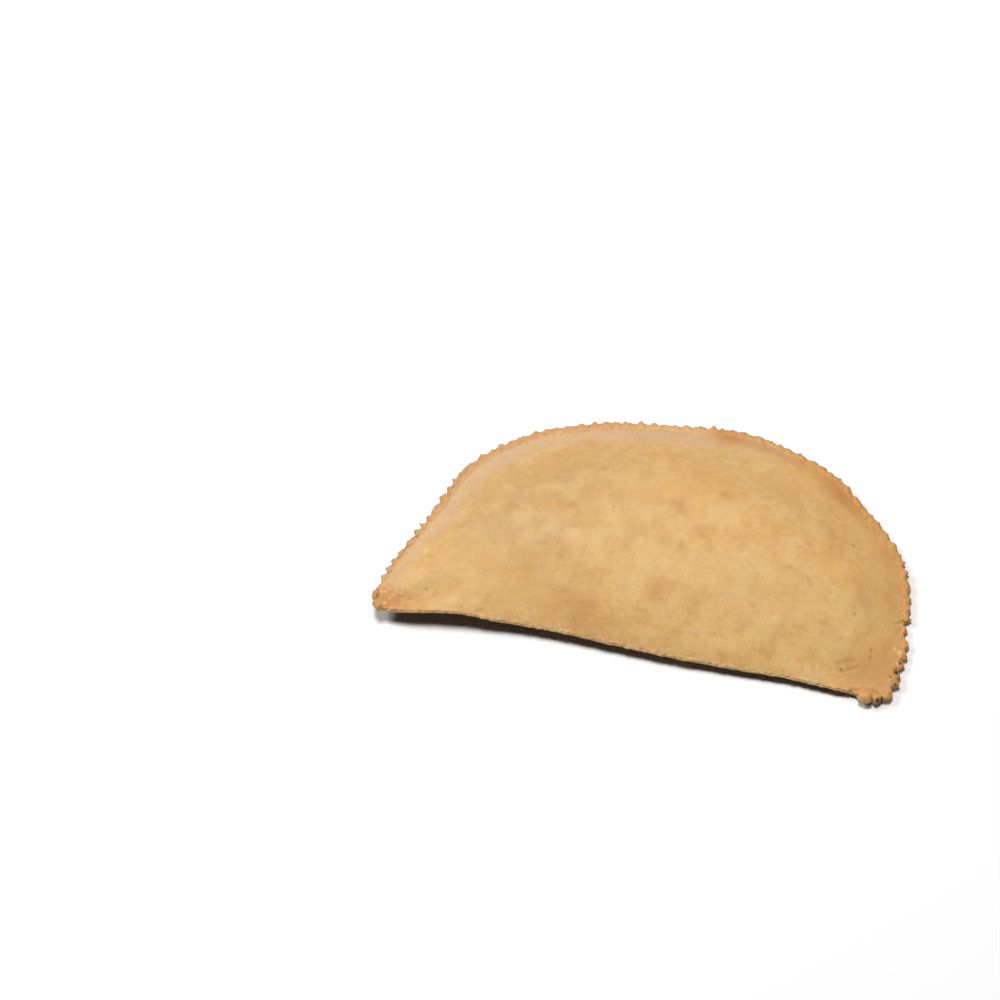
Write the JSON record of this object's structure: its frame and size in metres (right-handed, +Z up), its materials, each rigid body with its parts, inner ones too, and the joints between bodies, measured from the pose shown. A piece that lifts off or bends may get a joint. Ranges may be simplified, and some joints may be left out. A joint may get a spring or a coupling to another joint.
{
  "type": "panzerotto",
  "caption": "Half-moon filled dough pie, folded along one side, with a flat sealed rim cut into teeth round the curved side and a domed, mottled golden crust.",
  "frame": {"origin": "under the middle of the pie's box, on the surface that it rests on", "axes": "+X along the fold from the left tip to the right tip, +Y from the fold to the curved side, +Z up through the domed top"},
  "size_m": [0.212, 0.11, 0.0212],
  "materials": {
    "crust": "soft matte golden dough, mottled with pale brown, floury at the rim"
  },
  "bodies": {
    "root": {"panzerotto": "crust"}
  },
  "joints": []
}
